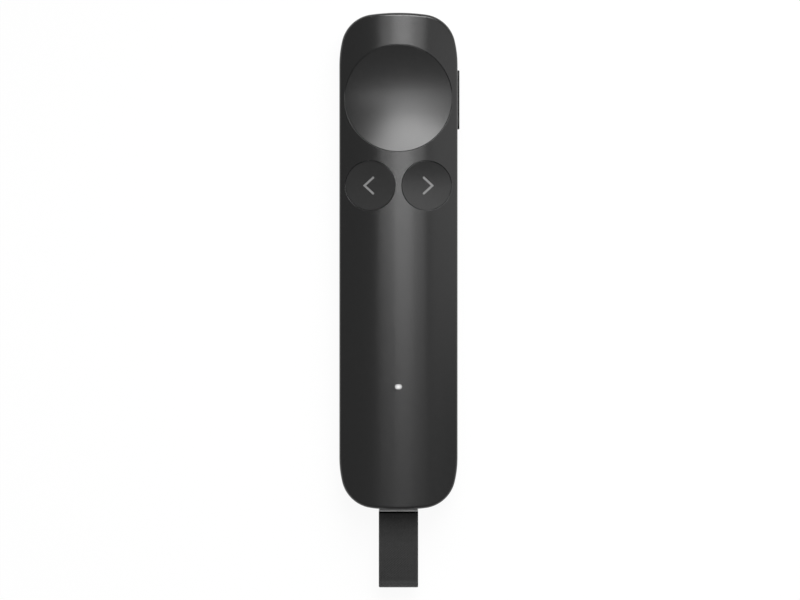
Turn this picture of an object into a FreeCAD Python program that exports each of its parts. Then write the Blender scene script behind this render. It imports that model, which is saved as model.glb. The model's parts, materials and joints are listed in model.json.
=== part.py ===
"""Wireless presentation clicker: a slim hand-held remote with a large dished pointer key, two round
slide keys, a side key, a status light, and a receiver with a strap that pulls out of its tail.

X runs across the case, Y from the strap end to the nose, and Z up out of the face. The origin is on
the surface that the clicker rests on, under the middle of the case. Lengths are in millimetres.
"""

import FreeCAD, Part
import math
import os

from FreeCAD import Placement, Rotation, Vector

# Case
case_length = 126.0
case_width = 30.0
crown_drop = 3.488  # how much lower the face would lie at the sides than in the middle
side_wall = 1.6
face_wall = 1.6
floor_wall = 1.4
face_edge_radius = 0.8
underside_radius = 3.4
seam_height = 4.2
seam_gap = 0.2
lip_width = 0.7
lip_height = 1.0
lip_clearance = 0.1
tail_flat_depth = 0.3  # how far the land over the receiver's mouth is cut back
end_arc_share = 3.615  # shares of half the case width
end_arc_angle = 7.35
corner_arc_share = 0.58
corner_arc_angle = 69.3

# Back pad, stuck in a recess under the case
pad_inset = 4.2
pad_thickness = 0.7
pad_recess = 0.5
pad_clearance = 0.1
pad_edge_radius = 0.15

# Circuit board
board_thickness = 0.8
board_side_inset = 4.0  # from the outside of the case
board_nose_inset = 12.0
board_corner_radius = 5.0

# Tact switches and their plungers
switch_width = 4.2
switch_height = 1.5
switch_edge = 0.2
plunger_radius = 0.9
plunger_rise = 0.6
plunger_sink = 0.5
plunger_clearance = 0.05

# Pointer key: a dished disc nearly as wide as the case
pointer_nose_land = 7.96  # from the nose to its well
pointer_side_land = 1.36  # from the sides of the case to its well
pointer_gap = 0.08
pointer_dish_depth = 1.6
pointer_dish_sink = 0.08
pointer_travel = 0.5
pointer_skin = 1.3
pointer_skirt = 1.2
pointer_post_radius = 1.6
pointer_tab_width = 5.0
pointer_rim_radius = 0.06

# Slide keys: next on the right, back on the left
slide_pointer_land = 3.33  # between their wells and the pointer key's well
slide_side_land = 1.52
slide_wells_apart = 1.56
slide_gap = 0.08
slide_recess = 0.35
slide_dish_depth = 0.3
slide_rim_radius = 0.06
slide_skirt = 1.0
slide_post_radius = 1.2
slide_tab_width = 3.0
slide_travel = 0.4
slide_roof = 0.7  # height of the hollow under a slide key

# What both kinds of key share
key_floor_rise = 0.8  # from the switch plungers up to the bottom of the skirts
key_depth = 4.1  # from the bottom of the skirts up to the top of the crown
key_tab_reach = 0.9
key_tab_height = 0.9
key_tab_gap = 0.1
well_floor_gap = 0.2
well_edge_radius = 0.08

# Chevrons let into the slide keys
icon_offset = 0.45
icon_width = 2.4
icon_height = 4.3
icon_stroke = 0.55
icon_depth = 0.2

# Side key
side_key_setback = 0.4  # from the pointer key, centre to centre
side_key_rise = 0.3  # of its middle, above the board
side_key_length = 15.0
side_key_height = 2.4
side_key_proud = 0.48
side_key_gap = 0.12
side_key_travel = 0.3
side_key_edge = 0.12
side_flange_reach = 1.2
side_flange_thickness = 0.9
side_flange_gap = 0.1
side_switch_depth = 3.4
side_switch_height = 1.6
side_plunger_radius = 0.5
side_plunger_rise = 0.7

# Status light
light_tail_inset = 31.2
light_width = 1.8
light_height = 1.3
light_gap = 0.03
light_flange = 0.8
light_flange_thickness = 1.0
light_foot_gap = 0.25
led_size = (1.6, 0.8, 0.6)

# Case screws, driven from under the back pad
nose_screw_inset = 9.2
nose_screw_side_inset = 6.2
tail_screw_inset = 13.0
tail_screw_sleeve_gap = 1.15
screw_radius = 0.8
screw_length = 6.0
screw_head_radius = 1.3
screw_head_height = 0.9
screw_head_gap = 0.1
screw_hole_gap = 0.02
screw_pass_gap = 0.15
screw_seat_wall = 0.55
boss_radius = 1.5
recess_width = 0.35
recess_length = 1.5
recess_depth = 0.45

# Board screws, and the pillars that carry the board's nose
board_screw_inset = 2.2  # from the board's edge
board_screw_place_shares = (0.85, 0.28)  # along the clear stretch of the board
board_screw_radius = 0.6
board_screw_length = 3.2
board_screw_head_radius = 1.1
board_screw_head_height = 0.6
board_post_radius = 1.4
pillar_inset = 2.5  # from the board's edge
pillar_nose_insets = (16.5, 33.0)
pillar_radius = 1.3

# Battery, its tape, its leads and their connector
battery_thickness = 3.9
battery_headroom = 0.5  # under the board
battery_port_gap = 19.2
battery_setback = 11.7  # of its nose end, from the slide keys
battery_screw_gap = 0.7
battery_edge_radius = 1.2
battery_flap_length = 1.6
battery_flap_thickness = 0.9
battery_flap_inset = 1.5
battery_flap_overlap = 1.0
tape_thickness = 0.2
tape_inset = 1.5
lead_run = 4.0  # from the battery's flap to the plug
plug_width = 4.0
plug_length = 3.7
plug_height = 1.6
plug_shows = 1.3
plug_gap = 0.05
socket_wall = 0.4
socket_back_wall = 0.9
lead_radius = 0.4
lead_spacing = 1.6
lead_bend_radius = 1.6

# Vibration motor
motor_setback = 8.4  # from the pointer key, centre to centre
motor_radius = 4.0
motor_thickness = 2.7
motor_edge_radius = 0.3
motor_tape_inset = 0.3
motor_lead_radius = 0.25
motor_lead_spacing = 1.2
motor_lead_run = 1.6
motor_lead_bend_radius = 0.9

# Parts soldered to the top of the board: length across, length along, height
can_size = (11.0, 13.0, 1.6)
can_place_share = 0.49
can_wall = 0.2
radio_size = (6.0, 6.0, 0.9)
sensor_size = (2.5, 3.0, 0.9)
sensor_place_share = 0.8
charger_size = (3.0, 3.0, 0.8)
charger_x = -5.5
charger_port_gap = 4.7  # from the charging port
crystal_size = (3.2, 1.5, 0.8)
crystal_gap = 0.5  # from the shield can
antenna_size = (8.0, 2.0, 1.0)
antenna_inset = 0.6  # from the board's nose
capacitor_size = (0.6, 1.0, 0.5)
capacitor_count = 5
capacitor_pitch = 1.6
capacitor_place_share = 0.72

# Charging port, sunk in a notch of the board's tail
port_width = 8.94
port_height = 3.16
port_length = 7.3
port_wall = 0.27
port_back_wall = 0.5
port_tail_inset = 16.0
port_overhang = 1.0
port_wing_reach = 1.2
port_wing_length = 2.0
port_wing_thickness = 0.3
port_notch_gap = 0.15
tongue_width = 6.6
tongue_thickness = 0.7
tongue_length = 4.6

# Receiver: housing, end cap, and the sleeve it slides in
receiver_width = 10.0
receiver_height = 4.4
receiver_edge_radius = 0.5
receiver_wall = 0.6
receiver_gap = 0.1
receiver_proud = 0.5
receiver_travel = 28.0
receiver_mouth_gap = 0.4
cap_length = 5.6
spigot_length = 1.1
spigot_gap = 0.05
sleeve_wall = 0.8
sleeve_end_gap = 0.3
rib_thickness = 0.8
rib_length = 4.4
rib_spacing = 5.0

# What the receiver holds
plug_shell_width = 8.25
plug_shell_height = 2.4
plug_shell_length = 6.3
plug_shell_wall = 0.3
plug_tail_length = 2.4
plug_core_recess = 0.3
plug_slot_gap = 0.1
plug_slot_length = 5.2
stick_board_length = 6.6
stick_board_thickness = 0.6
stick_board_gap = 0.1
stick_rail = 0.5
stick_chip_size = (4.0, 4.0, 0.8)

# Strap: a tape folded into a loop, its two tails pinned in the end cap
strap_width = 10.0
strap_thickness = 0.8
strap_reach = 19.8  # how far the fold stands out past the case
strap_layer_gap = 0.1
strap_slot_depth = 4.2
strap_slot_gap = 0.1
strap_flare_angle = 6.0
strap_flare_radius = 20.0
strap_flare_length = 4.0
strap_belly_radius = 60.0
strap_pin_x = 2.8
strap_pin_radius = 0.5
strap_pin_inset = 2.9  # from the outer end of the cap
strap_pin_gap = 0.01
strap_hole_gap = 0.05

overrun = 1.0  # how far every cut runs past the face it opens
match_tolerance = 0.001  # how closely a point must lie on a surface to count as on it

# Worked out from the sizes above
half_width = case_width / 2
half_length = case_length / 2
end_radius = end_arc_share * half_width
corner_radius = corner_arc_share * half_width
end_angle = math.radians(end_arc_angle)
turn_angle = math.radians(end_arc_angle + corner_arc_angle)
case_underside = pad_thickness - pad_recess
floor_top = case_underside + floor_wall
seam_top = seam_height + seam_gap / 2
seam_bottom = seam_height - seam_gap / 2
board_underside = floor_top + tape_thickness + battery_thickness + battery_headroom
board_top = board_underside + board_thickness
plunger_top = board_top + switch_height + plunger_rise
key_floor = plunger_top + key_floor_rise
case_height = key_floor + key_depth  # 14.0, from the rest surface to the top of the crown
crown_radius = (half_width**2 + crown_drop**2) / (2 * crown_drop)  # 34.0
crown_axis_z = case_height - crown_radius
pointer_well_radius = half_width - pointer_side_land
pointer_radius = pointer_well_radius - pointer_gap
pointer_y = half_length - pointer_nose_land - pointer_well_radius
slide_well_radius = (half_width - slide_side_land - slide_wells_apart / 2) / 2
slide_radius = slide_well_radius - slide_gap
slide_key_x = slide_well_radius + slide_wells_apart / 2
key_distance = pointer_well_radius + slide_pointer_land + slide_well_radius
slide_key_y = pointer_y - math.sqrt(key_distance**2 - slide_key_x**2)
side_key_y = pointer_y - side_key_setback
side_key_z = board_top + side_key_rise
light_y = -half_length + light_tail_inset
port_z = board_top
port_mouth_y = -half_length + port_tail_inset
port_back_y = port_mouth_y + port_length
board_half_width = half_width - board_side_inset
board_nose_y = half_length - board_nose_inset
board_tail_y = port_mouth_y + port_overhang
clear_stretch = slide_key_y - switch_width / 2 - port_back_y  # of board, from the port to the keys
battery_tail_y = port_back_y + battery_port_gap
battery_nose_y = slide_key_y - battery_setback
board_screw_x = board_half_width - board_screw_inset
battery_half_width = board_screw_x - board_screw_head_radius - battery_screw_gap
motor_y = pointer_y - motor_setback
sleeve_across = receiver_width / 2 + receiver_gap + sleeve_wall
sleeve_rise = receiver_height / 2 + receiver_gap + sleeve_wall
screw_seat_radius = screw_head_radius + screw_head_gap + screw_seat_wall
receiver_inner_y = port_mouth_y - receiver_mouth_gap
cap_outer_y = -half_length - receiver_proud
cap_inner_y = cap_outer_y + cap_length
strap_slot_height = 2 * strap_thickness + strap_layer_gap + 2 * strap_slot_gap
UP = Vector(0, 0, 1)
RIGHT = Vector(1, 0, 0)
AHEAD = Vector(0, 1, 0)


# Outlines and simple solids


def outline_centres():
    """The centres of the end, corner and shoulder arcs of one quarter of the case outline, and the
    shoulder arc's radius, which closes the outline on the straight side."""
    across = end_radius * math.sin(end_angle)
    across += corner_radius * (math.sin(turn_angle) - math.sin(end_angle))
    shoulder = (half_width - across) / (1 - math.sin(turn_angle))
    end = (0, half_length - end_radius)
    lean = end_radius - corner_radius
    corner = (end[0] + lean * math.sin(end_angle), end[1] + lean * math.cos(end_angle))
    lean = corner_radius - shoulder
    side = (corner[0] + lean * math.sin(turn_angle), corner[1] + lean * math.cos(turn_angle))
    return end, corner, side, shoulder


def seam_down(shape, centre):
    """Turns a shape made round a Y axis until its seam lies underneath."""
    shape.rotate(centre, AHEAD, 180)
    return shape


def plan_outline(inset, z):
    """The case outline seen from above, drawn in by inset, as a closed wire of arcs and two lines."""
    end, corner, side, shoulder = outline_centres()
    quarter_turn = math.pi / 2

    def point(centre, radius, angle, x_sign, y_sign):
        x = centre[0] + (radius - inset) * math.sin(angle)
        y = centre[1] + (radius - inset) * math.cos(angle)
        return Vector(x_sign * x, y_sign * y, z)

    def arc(centre, radius, start, stop, x_sign, y_sign):
        angles = (start, (start + stop) / 2, stop)
        ends = [point(centre, radius, angle, x_sign, y_sign) for angle in angles]
        return Part.Arc(*ends).toShape()

    edges = []
    for y_sign in (1, -1):
        edges.append(arc(end, end_radius, -end_angle, end_angle, 1, y_sign))
        for x_sign in (1, -1):
            edges.append(arc(corner, corner_radius, end_angle, turn_angle, x_sign, y_sign))
            edges.append(arc(side, shoulder, turn_angle, quarter_turn, x_sign, y_sign))
    for x_sign in (1, -1):
        front = point(side, shoulder, quarter_turn, x_sign, 1)
        rear = point(side, shoulder, quarter_turn, x_sign, -1)
        edges.append(Part.makeLine(front, rear))
    return Part.Wire(Part.__sortEdges__(edges))


def outline_reach(x, inset):
    """How far the case outline, drawn in by inset, stands out at its ends at x."""
    arcs = zip(outline_centres()[:3], (end_radius, corner_radius, outline_centres()[3]))
    reaches = []
    for centre, radius in arcs:
        across = x - centre[0]
        if abs(across) <= radius - inset:
            reaches.append(centre[1] + math.sqrt((radius - inset) ** 2 - across**2))
    return min(reaches)


def plan_prism(inset, low, high):
    """The case outline, drawn in by inset, as a solid from low to high."""
    return Part.Face(plan_outline(inset, low)).extrude(UP * (high - low))


def crown_bar(inset):
    """The round bar that the face is cut from, its radius drawn in by inset."""
    reach = case_length + 2 * overrun
    start = Vector(0, -reach / 2, crown_axis_z)
    bar = Part.makeCylinder(crown_radius - inset, reach, start, AHEAD)
    return seam_down(bar, start)


def crown_height(x, inset=0.0):
    """How high the face, drawn in by inset, stands at x."""
    return crown_axis_z + math.sqrt((crown_radius - inset) ** 2 - x**2)


def box(low, high):
    """A box between two corners."""
    size = Vector(*high) - Vector(*low)
    return Part.makeBox(size.x, size.y, size.z, Vector(*low))


def centred_box(size, x, y, z):
    """A box of that size, centred on x and y, standing on z."""
    return Part.makeBox(*size, Vector(x - size[0] / 2, y - size[1] / 2, z))


def rod(x, y, low, high, radius):
    """An upright cylinder."""
    return Part.makeCylinder(radius, high - low, Vector(x, y, low), UP)


def pill(origin, along, across, length, height, depth):
    """A slot shape, length by height with round ends, centred on origin and pushed out by depth."""
    radius = height / 2
    reach = along * ((length - height) / 2)
    rise = across * radius
    tip = along * (length / 2)
    edges = [
        Part.makeLine(origin - reach + rise, origin + reach + rise),
        Part.Arc(origin + reach + rise, origin + tip, origin + reach - rise).toShape(),
        Part.makeLine(origin + reach - rise, origin - reach - rise),
        Part.Arc(origin - reach - rise, origin - tip, origin - reach + rise).toShape(),
    ]
    return Part.Face(Part.Wire(edges)).extrude(depth)


def rounded_box(low, high, radius, axis):
    """A box whose four edges along axis are rounded."""
    shape = box(low, high)
    edges = [e for e in shape.Edges if abs(e.tangentAt(e.FirstParameter).dot(axis)) > 0.99]
    return shape.makeFillet(radius, edges)


def fused(shapes):
    """Several touching shapes as one solid."""
    joined = shapes[0].fuse(shapes[1:])
    return joined.removeSplitter()


def edges_on_plane(shape, axis, value):
    """The edges of shape that lie wholly at that value along axis."""
    found = []
    for edge in shape.Edges:
        low, high = edge.ParameterRange
        places = [edge.valueAt(low + (high - low) * share) for share in (0.0, 0.3, 0.6, 1.0)]
        if all(abs(place.dot(axis) - value) < match_tolerance for place in places):
            found.append(edge)
    return found


def tube(points, bend_radius, radius):
    """A round wire along straight runs joined by tangent arcs."""
    edges = []
    start = points[0]
    for before, corner, after in zip(points, points[1:], points[2:]):
        back = (before - corner).normalize()
        on = (after - corner).normalize()
        half = back.getAngle(on) / 2
        setback = bend_radius / math.tan(half)
        first, last = corner + back * setback, corner + on * setback
        middle_way = (back + on).normalize()
        middle = corner + middle_way * (bend_radius / math.sin(half) - bend_radius)
        edges.append(Part.makeLine(start, first))
        edges.append(Part.Arc(first, middle, last).toShape())
        start = last
    edges.append(Part.makeLine(start, points[-1]))
    heading = (points[1] - points[0]).normalize()
    profile = Part.Wire(Part.makeCircle(radius, points[0], heading))
    return Part.Wire(edges).makePipeShell([profile], True, False)


# Case


def case_screw_places():
    """Where the four case screws stand."""
    nose = (half_width - nose_screw_side_inset, half_length - nose_screw_inset)
    tail_x = sleeve_across + tail_screw_sleeve_gap + screw_seat_radius
    tail = (tail_x, -half_length + tail_screw_inset)
    return [(side * x, y) for x, y in (nose, tail) for side in (1, -1)]


def board_place(share):
    """A place along the clear stretch of the board, from the port to the slide keys' switches."""
    return port_back_y + clear_stretch * share


def board_screw_places():
    """Where the four board screws stand."""
    ys = [board_place(share) for share in board_screw_place_shares]
    return [(side * board_screw_x, y) for y in ys for side in (1, -1)]


def pillar_places():
    """Where the pillars under the board's nose stand."""
    x = board_half_width - pillar_inset
    return [(side * x, half_length - inset) for inset in pillar_nose_insets for side in (1, -1)]


def well_places():
    """Centre and radius of each round key well."""
    wells = [(side * slide_key_x, slide_key_y, slide_well_radius) for side in (1, -1)]
    return [(0.0, pointer_y, pointer_well_radius)] + wells


def outer_top():
    """The top shell as a full block: the outline cut by the crown, its rim rounded."""
    block = plan_prism(0.0, seam_top, case_height + overrun).common(crown_bar(0.0))
    rim = []
    for face in block.Faces:
        surface = face.Surface
        if isinstance(surface, Part.Cylinder) and abs(surface.Axis.y) > 0.99:
            rim += face.Edges
    return block.makeFillet(face_edge_radius, rim)


def receiver_opening(low_y, high_y, gap):
    """The passage that the receiver slides through, its edges rounded like the receiver's."""
    across = receiver_width / 2 + gap
    rise = receiver_height / 2 + gap
    low, high = (-across, low_y, port_z - rise), (across, high_y, port_z + rise)
    return rounded_box(low, high, receiver_edge_radius + gap, AHEAD)


def receiver_mouth():
    """The opening through the case's end wall that the receiver is pulled out of."""
    outer_y = -half_length - overrun
    return receiver_opening(outer_y, -half_length + side_wall + overrun, receiver_gap)


def tail_flat():
    """What is cut from the rounded end over the receiver's mouth, so that the cap lies against a
    straight land."""
    across = receiver_width / 2 + receiver_gap
    low = (-across, -half_length - overrun, port_z)
    return box(low, (across, -half_length + tail_flat_depth, case_height + overrun))


def round_well_rims(shell):
    """Breaks the sharp rim of each key well."""
    rims = []
    for edge in shell.Edges:
        low, high = edge.ParameterRange
        places = [edge.valueAt(low + (high - low) * share) for share in (0.1, 0.35, 0.6, 0.85)]
        for x, y, radius in well_places():
            offsets = [math.hypot(place.x - x, place.y - y) - radius for place in places]
            offsets += [place.z - crown_height(place.x) for place in places]
            if all(abs(offset) < match_tolerance for offset in offsets):
                rims.append(edge)
    return shell.makeFillet(well_edge_radius, rims)


def make_top_shell():
    """The top shell: face, side walls, screw bosses and board posts, with the wells, the window, the
    side key's slot and the receiver's mouth cut through."""
    shell = outer_top()
    below = seam_top - overrun
    cavity = plan_prism(side_wall, below, case_height + overrun).common(crown_bar(face_wall))
    shell = shell.cut(cavity)
    rebate_inset = side_wall - lip_width - lip_clearance
    shell = shell.cut(plan_prism(rebate_inset, below, seam_height + lip_height + lip_clearance))

    roof = crown_bar(face_wall / 2)
    stands = []
    for x, y in case_screw_places():
        stands.append(rod(x, y, seam_height, case_height, boss_radius).common(roof))
    for x, y in board_screw_places():
        stands.append(rod(x, y, board_top, case_height, board_post_radius).common(roof))
    shell = fused([shell] + stands)

    cuts = []
    for x, y, radius in well_places():
        floor = key_floor - pointer_travel - well_floor_gap
        cuts.append(rod(x, y, floor, case_height + overrun, radius))
    for x, y in case_screw_places():
        tip = case_screw_seat() + screw_length + screw_head_gap
        cuts.append(rod(x, y, below, tip, screw_radius + screw_hole_gap))
    for x, y in board_screw_places():
        tip = board_underside + board_screw_length + screw_head_gap
        cuts.append(rod(x, y, board_top - overrun, tip, board_screw_radius + screw_hole_gap))
    cuts.append(light_column(light_gap, floor_top, case_height + overrun))
    slot_start = Vector(half_width - side_wall - overrun, side_key_y, side_key_z)
    slot_depth = RIGHT * (side_wall + 2 * overrun)
    slot_length = side_key_length + 2 * side_key_gap
    slot_height = side_key_height + 2 * side_key_gap
    cuts.append(pill(slot_start, AHEAD, UP, slot_length, slot_height, slot_depth))
    cuts += [receiver_mouth(), tail_flat()]
    shell = shell.cut(cuts)
    return round_well_rims(shell)


def case_screw_seat():
    """Height of the shoulder that a case screw's head pulls up against."""
    return pad_thickness + screw_head_gap + screw_head_height


def make_bottom_shell():
    """The bottom shell: a shallow tray with a locating lip, screw pillars, board pillars, ribs under
    the receiver sleeve, and the recess for the back pad."""
    tray = plan_prism(0.0, case_underside, seam_bottom)
    tray = tray.makeFillet(underside_radius, edges_on_plane(tray, UP, case_underside))
    room = plan_prism(side_wall, floor_top, seam_height + lip_height + overrun)
    inner_radius = underside_radius - side_wall
    room = room.makeFillet(inner_radius, edges_on_plane(room, UP, floor_top))
    lip = plan_prism(side_wall - lip_width, floor_top, seam_height + lip_height)
    mouth = sleeve_across + lip_clearance
    gate_low = (-mouth, -half_length - overrun, seam_bottom)
    gate_high = (mouth, -half_length + side_wall + overrun, case_height)
    shell = tray.fuse(lip.common(plan_prism(side_wall - lip_width, underside_radius, case_height)))
    shell = shell.cut(room).cut(box(gate_low, gate_high))

    stands = []
    pillar_base = case_underside + floor_wall / 2
    for x, y in case_screw_places():
        stands.append(rod(x, y, pillar_base, seam_height, screw_seat_radius))
    for x, y in pillar_places():
        stands.append(rod(x, y, pillar_base, board_underside, pillar_radius))
    for side in (1, -1):
        rib = (rib_thickness, rib_length, port_z - sleeve_rise - pillar_base)
        stands.append(centred_box(rib, side * rib_spacing / 2, sleeve_middle_y(), pillar_base))
    shell = fused([shell] + stands)

    cuts = [plan_prism(pad_inset, case_underside - overrun, pad_thickness), receiver_mouth()]
    seat = case_screw_seat()
    for x, y in case_screw_places():
        cuts.append(rod(x, y, pad_thickness - overrun, seat, screw_head_radius + screw_head_gap))
        cuts.append(rod(x, y, pad_thickness, seam_height + overrun, screw_radius + screw_pass_gap))
    return shell.cut(cuts)


def make_back_pad():
    """The soft pad in the recess, which hides the case screws and is what the clicker rests on."""
    pad = plan_prism(pad_inset + pad_clearance, 0.0, pad_thickness)
    return pad.makeFillet(pad_edge_radius, edges_on_plane(pad, UP, 0.0))


def cross_recess(x, y, head_face, up):
    """The driver cross in a screw head whose face is at head_face; up is 1 for a cut going up."""
    low = head_face if up > 0 else head_face - recess_depth
    bars = []
    for size in ((recess_length, recess_width), (recess_width, recess_length)):
        bars.append(centred_box((size[0], size[1], recess_depth), x, y, low))
    return bars[0].fuse(bars[1])


def make_case_screws():
    """Four screws that pull the bottom shell up to the bosses of the top shell."""
    screws = []
    seat = case_screw_seat()
    for x, y in case_screw_places():
        head = rod(x, y, seat - screw_head_height, seat, screw_head_radius)
        shank = rod(x, y, seat - screw_head_height / 2, seat + screw_length, screw_radius)
        cross = cross_recess(x, y, seat - screw_head_height, 1)
        screws.append(fused([head, shank]).cut(cross))
    return Part.makeCompound(screws)


def make_board_screws():
    """Four screws that hold the board up against the posts of the top shell."""
    screws = []
    head_low = board_underside - board_screw_head_height
    for x, y in board_screw_places():
        head = rod(x, y, head_low, board_underside, board_screw_head_radius)
        shank_low = board_underside - board_screw_head_height / 2
        shank = rod(x, y, shank_low, board_underside + board_screw_length, board_screw_radius)
        bar = (board_screw_head_radius, recess_width, board_screw_head_height / 2)
        screws.append(fused([head, shank]).cut(centred_box(bar, x, y, head_low)))
    return Part.makeCompound(screws)


# Board and what is soldered to it


def make_board():
    """The circuit board, with its screw holes and a notch for the port."""
    low = (-board_half_width, board_tail_y, board_underside)
    high = (board_half_width, board_nose_y, board_top)
    board = rounded_box(low, high, board_corner_radius, UP)
    cuts = []
    for x, y in board_screw_places():
        radius = board_screw_radius + screw_pass_gap
        cuts.append(rod(x, y, board_underside - overrun, board_top + overrun, radius))
    notch = port_width / 2 + port_notch_gap
    notch_end = port_back_y + port_notch_gap
    notch_low = (-notch, board_tail_y - overrun, board_underside - overrun)
    cuts.append(box(notch_low, (notch, notch_end, board_top + overrun)))
    return board.cut(cuts)


def make_switch(x, y):
    """A tact switch: a square case with a round opening for its plunger."""
    size = (switch_width, switch_width, switch_height)
    case = centred_box(size, x, y, board_top)
    case = case.makeChamfer(switch_edge, edges_on_plane(case, UP, board_top + switch_height))
    bore_low = board_top + switch_height - plunger_sink - pointer_travel - plunger_clearance
    bore = rod(x, y, bore_low, plunger_top, plunger_radius + plunger_clearance)
    return case.cut(bore)


def make_plunger(x, y):
    """A switch plunger, standing out of its switch up to the post of its key."""
    low = board_top + switch_height - plunger_sink
    return rod(x, y, low, plunger_top, plunger_radius)


def side_switch_face():
    """How far right the face of the side switch stands."""
    return side_key_inner_face() - side_plunger_rise


def side_key_inner_face():
    """How far right the inner face of the side key stands."""
    return half_width - side_wall - side_flange_gap - side_flange_thickness


def side_plunger(low_x, radius, high_x):
    """A bar along X through the middle of the side switch."""
    start = Vector(low_x, side_key_y, board_top + side_switch_height / 2)
    return Part.makeCylinder(radius, high_x - low_x, start, RIGHT)


def make_side_switch():
    """The switch on the edge of the board, which the side key presses inwards."""
    face = side_switch_face()
    half = switch_width / 2
    low = (face - side_switch_depth, side_key_y - half, board_top)
    case = box(low, (face, side_key_y + half, board_top + side_switch_height))
    bore_start = face - plunger_sink - side_key_travel - plunger_clearance
    return case.cut(side_plunger(bore_start, side_plunger_radius + plunger_clearance, half_width))


def make_side_plunger():
    """The plunger of the side switch."""
    start = side_switch_face() - plunger_sink
    return side_plunger(start, side_plunger_radius, side_key_inner_face())


def make_radio_can():
    """The shield can, open underneath, over the radio chip."""
    can = centred_box(can_size, 0.0, board_place(can_place_share), board_top)
    top_edges = edges_on_plane(can, UP, board_top + can_size[2])
    can = can.makeFillet(can_wall, top_edges)
    inner = [side - 2 * can_wall for side in can_size[:2]] + [can_size[2] - can_wall]
    return can.cut(centred_box(inner, 0.0, board_place(can_place_share), board_top))


def make_capacitors():
    """A row of small capacitors between the shield can and the motion sensor."""
    row = []
    for place in range(capacitor_count):
        x = (place - (capacitor_count - 1) / 2) * capacitor_pitch
        row.append(centred_box(capacitor_size, x, board_place(capacitor_place_share), board_top))
    return Part.makeCompound(row)


def make_port_shell():
    """The steel shell of the charging port, closed at the back, with wings on the board."""
    start = Vector(0, port_mouth_y, port_z)
    outer = pill(start, RIGHT, UP, port_width, port_height, AHEAD * port_length)
    inner_width, inner_height = port_width - 2 * port_wall, port_height - 2 * port_wall
    inner_start = start - AHEAD * overrun
    inner_depth = AHEAD * (port_length + overrun - port_back_wall)
    inner = pill(inner_start, RIGHT, UP, inner_width, inner_height, inner_depth)
    wings = []
    for side in (1, -1):
        root = side * (port_width / 2 - port_wall / 2)
        tip = side * (port_width / 2 + port_wing_reach)
        back = port_back_y - port_back_wall
        low = (min(root, tip), back - port_wing_length, board_top)
        wings.append(box(low, (max(root, tip), back, board_top + port_wing_thickness)))
    return fused([outer] + wings).cut(inner)


def make_port_tongue():
    """The contact tongue inside the charging port."""
    back = port_back_y - port_back_wall
    half_wide, half_thick = tongue_width / 2, tongue_thickness / 2
    low = (-half_wide, back - tongue_length, port_z - half_thick)
    return box(low, (half_wide, back, port_z + half_thick))


def light_column(gap, low, high):
    """The oblong bar of the light pipe, grown by gap."""
    start = Vector(0, light_y, low)
    return pill(start, RIGHT, AHEAD, light_width + 2 * gap, light_height + 2 * gap, UP * (high - low))


def make_light_pipe():
    """The clear pipe that carries the light to the face, with a flange under the shell."""
    foot = board_top + led_size[2] + light_foot_gap
    bar = light_column(0.0, foot, case_height + overrun).common(crown_bar(0.0))
    roof = crown_height(light_width / 2 + light_flange, face_wall) - light_gap
    flange = light_column(light_flange, roof - light_flange_thickness, roof)
    return fused([bar, flange])


# Battery and vibration motor


def battery_underside():
    """Height of the battery's underside, on its tape."""
    return floor_top + tape_thickness


def battery_flap_z():
    """Height of the middle of the battery's sealed flap."""
    return battery_underside() + battery_thickness / 2


def battery_flap_end():
    """Where the battery's flap ends and its leads begin."""
    return battery_nose_y + battery_flap_length


def make_battery():
    """A flat pouch cell with its sealed flap at the end that the leads leave from."""
    low = (-battery_half_width, battery_tail_y, battery_underside())
    high = (battery_half_width, battery_nose_y, battery_underside() + battery_thickness)
    cell = rounded_box(low, high, battery_edge_radius, AHEAD)
    flap_across = battery_half_width - battery_flap_inset
    flap_z = battery_flap_z() - battery_flap_thickness / 2
    flap_low = (-flap_across, battery_nose_y - battery_flap_overlap, flap_z)
    flap = box(flap_low, (flap_across, battery_flap_end(), flap_z + battery_flap_thickness))
    return fused([cell, flap])


def make_battery_tape():
    """Double-sided tape that holds the battery to the floor."""
    across = battery_half_width - tape_inset
    high = (across, battery_nose_y - tape_inset, battery_underside())
    return box((-across, battery_tail_y + tape_inset, floor_top), high)


def plug_block(gap):
    """The battery plug, grown by gap at the sides, above and below."""
    across = plug_width / 2 + gap
    mouth_y = battery_flap_end() + lead_run
    low = (-across, mouth_y, board_underside - socket_wall - plug_height - gap)
    high = (across, mouth_y + plug_length, board_underside - socket_wall + gap)
    return box(low, high)


def make_battery_socket():
    """The socket under the board, open towards the battery."""
    across = plug_width / 2 + plug_gap + socket_wall
    mouth_y = battery_flap_end() + lead_run + plug_shows
    back_y = mouth_y - plug_shows + plug_length + socket_back_wall
    low = (-across, mouth_y, board_underside - plug_height - 2 * socket_wall)
    return box(low, (across, back_y, board_underside)).cut(plug_block(plug_gap))


def make_battery_lead(side):
    """One battery lead, from the flap up to the plug in two easy bends."""
    x = side * lead_spacing / 2
    plug_z = board_underside - socket_wall - plug_height / 2
    start = Vector(x, battery_flap_end(), battery_flap_z())
    end = Vector(x, battery_flap_end() + lead_run, plug_z)
    first = start + AHEAD * (lead_run / 3)
    second = end - AHEAD * (lead_run / 3)
    return tube([start, first, second, end], lead_bend_radius, lead_radius)


def motor_underside():
    """Height of the vibration motor's underside, on its tape."""
    return floor_top + tape_thickness


def make_motor():
    """A coin vibration motor."""
    low = motor_underside()
    coin = rod(0.0, motor_y, low, low + motor_thickness, motor_radius)
    return coin.makeFillet(motor_edge_radius, edges_on_plane(coin, UP, low + motor_thickness))


def make_motor_tape():
    """The tape disc under the vibration motor."""
    return rod(0.0, motor_y, floor_top, motor_underside(), motor_radius - motor_tape_inset)


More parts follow.
